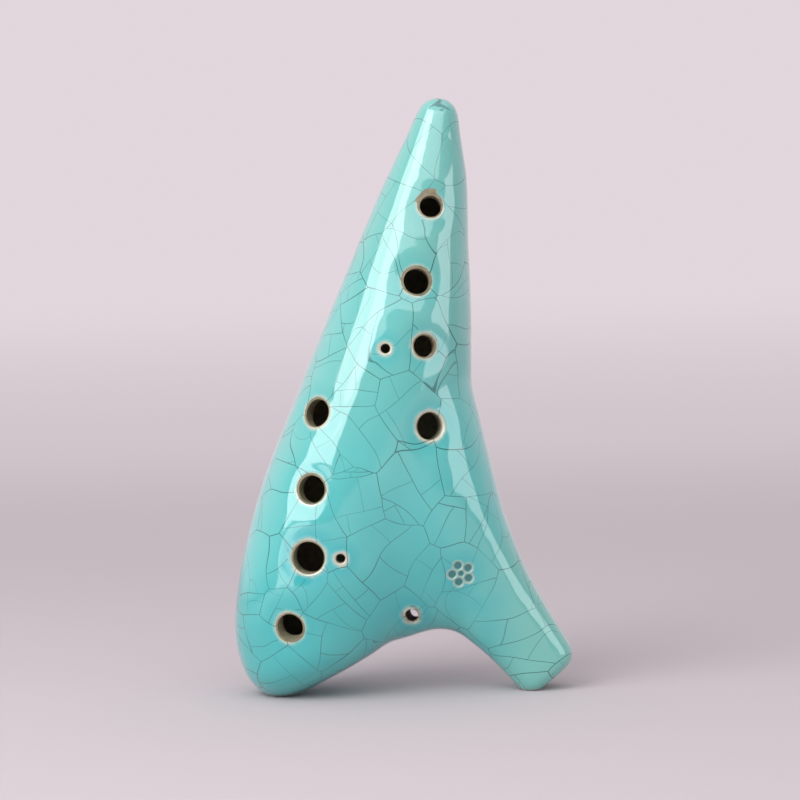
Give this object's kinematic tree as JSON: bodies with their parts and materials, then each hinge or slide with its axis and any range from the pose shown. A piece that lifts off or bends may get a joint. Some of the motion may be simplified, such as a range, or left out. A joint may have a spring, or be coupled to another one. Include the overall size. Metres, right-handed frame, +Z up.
{
  "type": "ocarina",
  "caption": "Transverse ceramic ocarina with a turquoise crackle glaze, a tapering body, a slanted mouthpiece and round finger holes.",
  "frame": {"origin": "on the resting plane, below the middle of the bounding box", "axes": "+Z up as it stands on its tail and lip, -Y the side with the finger holes, +X towards the mouthpiece"},
  "size_m": [0.1033, 0.0495, 0.1811],
  "materials": {
    "clay": "unglazed buff stoneware",
    "glaze": "glossy turquoise crackle glaze"
  },
  "bodies": {
    "root": {"front_shell": "clay", "back_shell": "clay", "windway_block": "clay", "windway_cover": "clay", "labium_blade": "clay", "seam_bead": "clay", "glaze_coat": "glaze"}
  },
  "joints": []
}
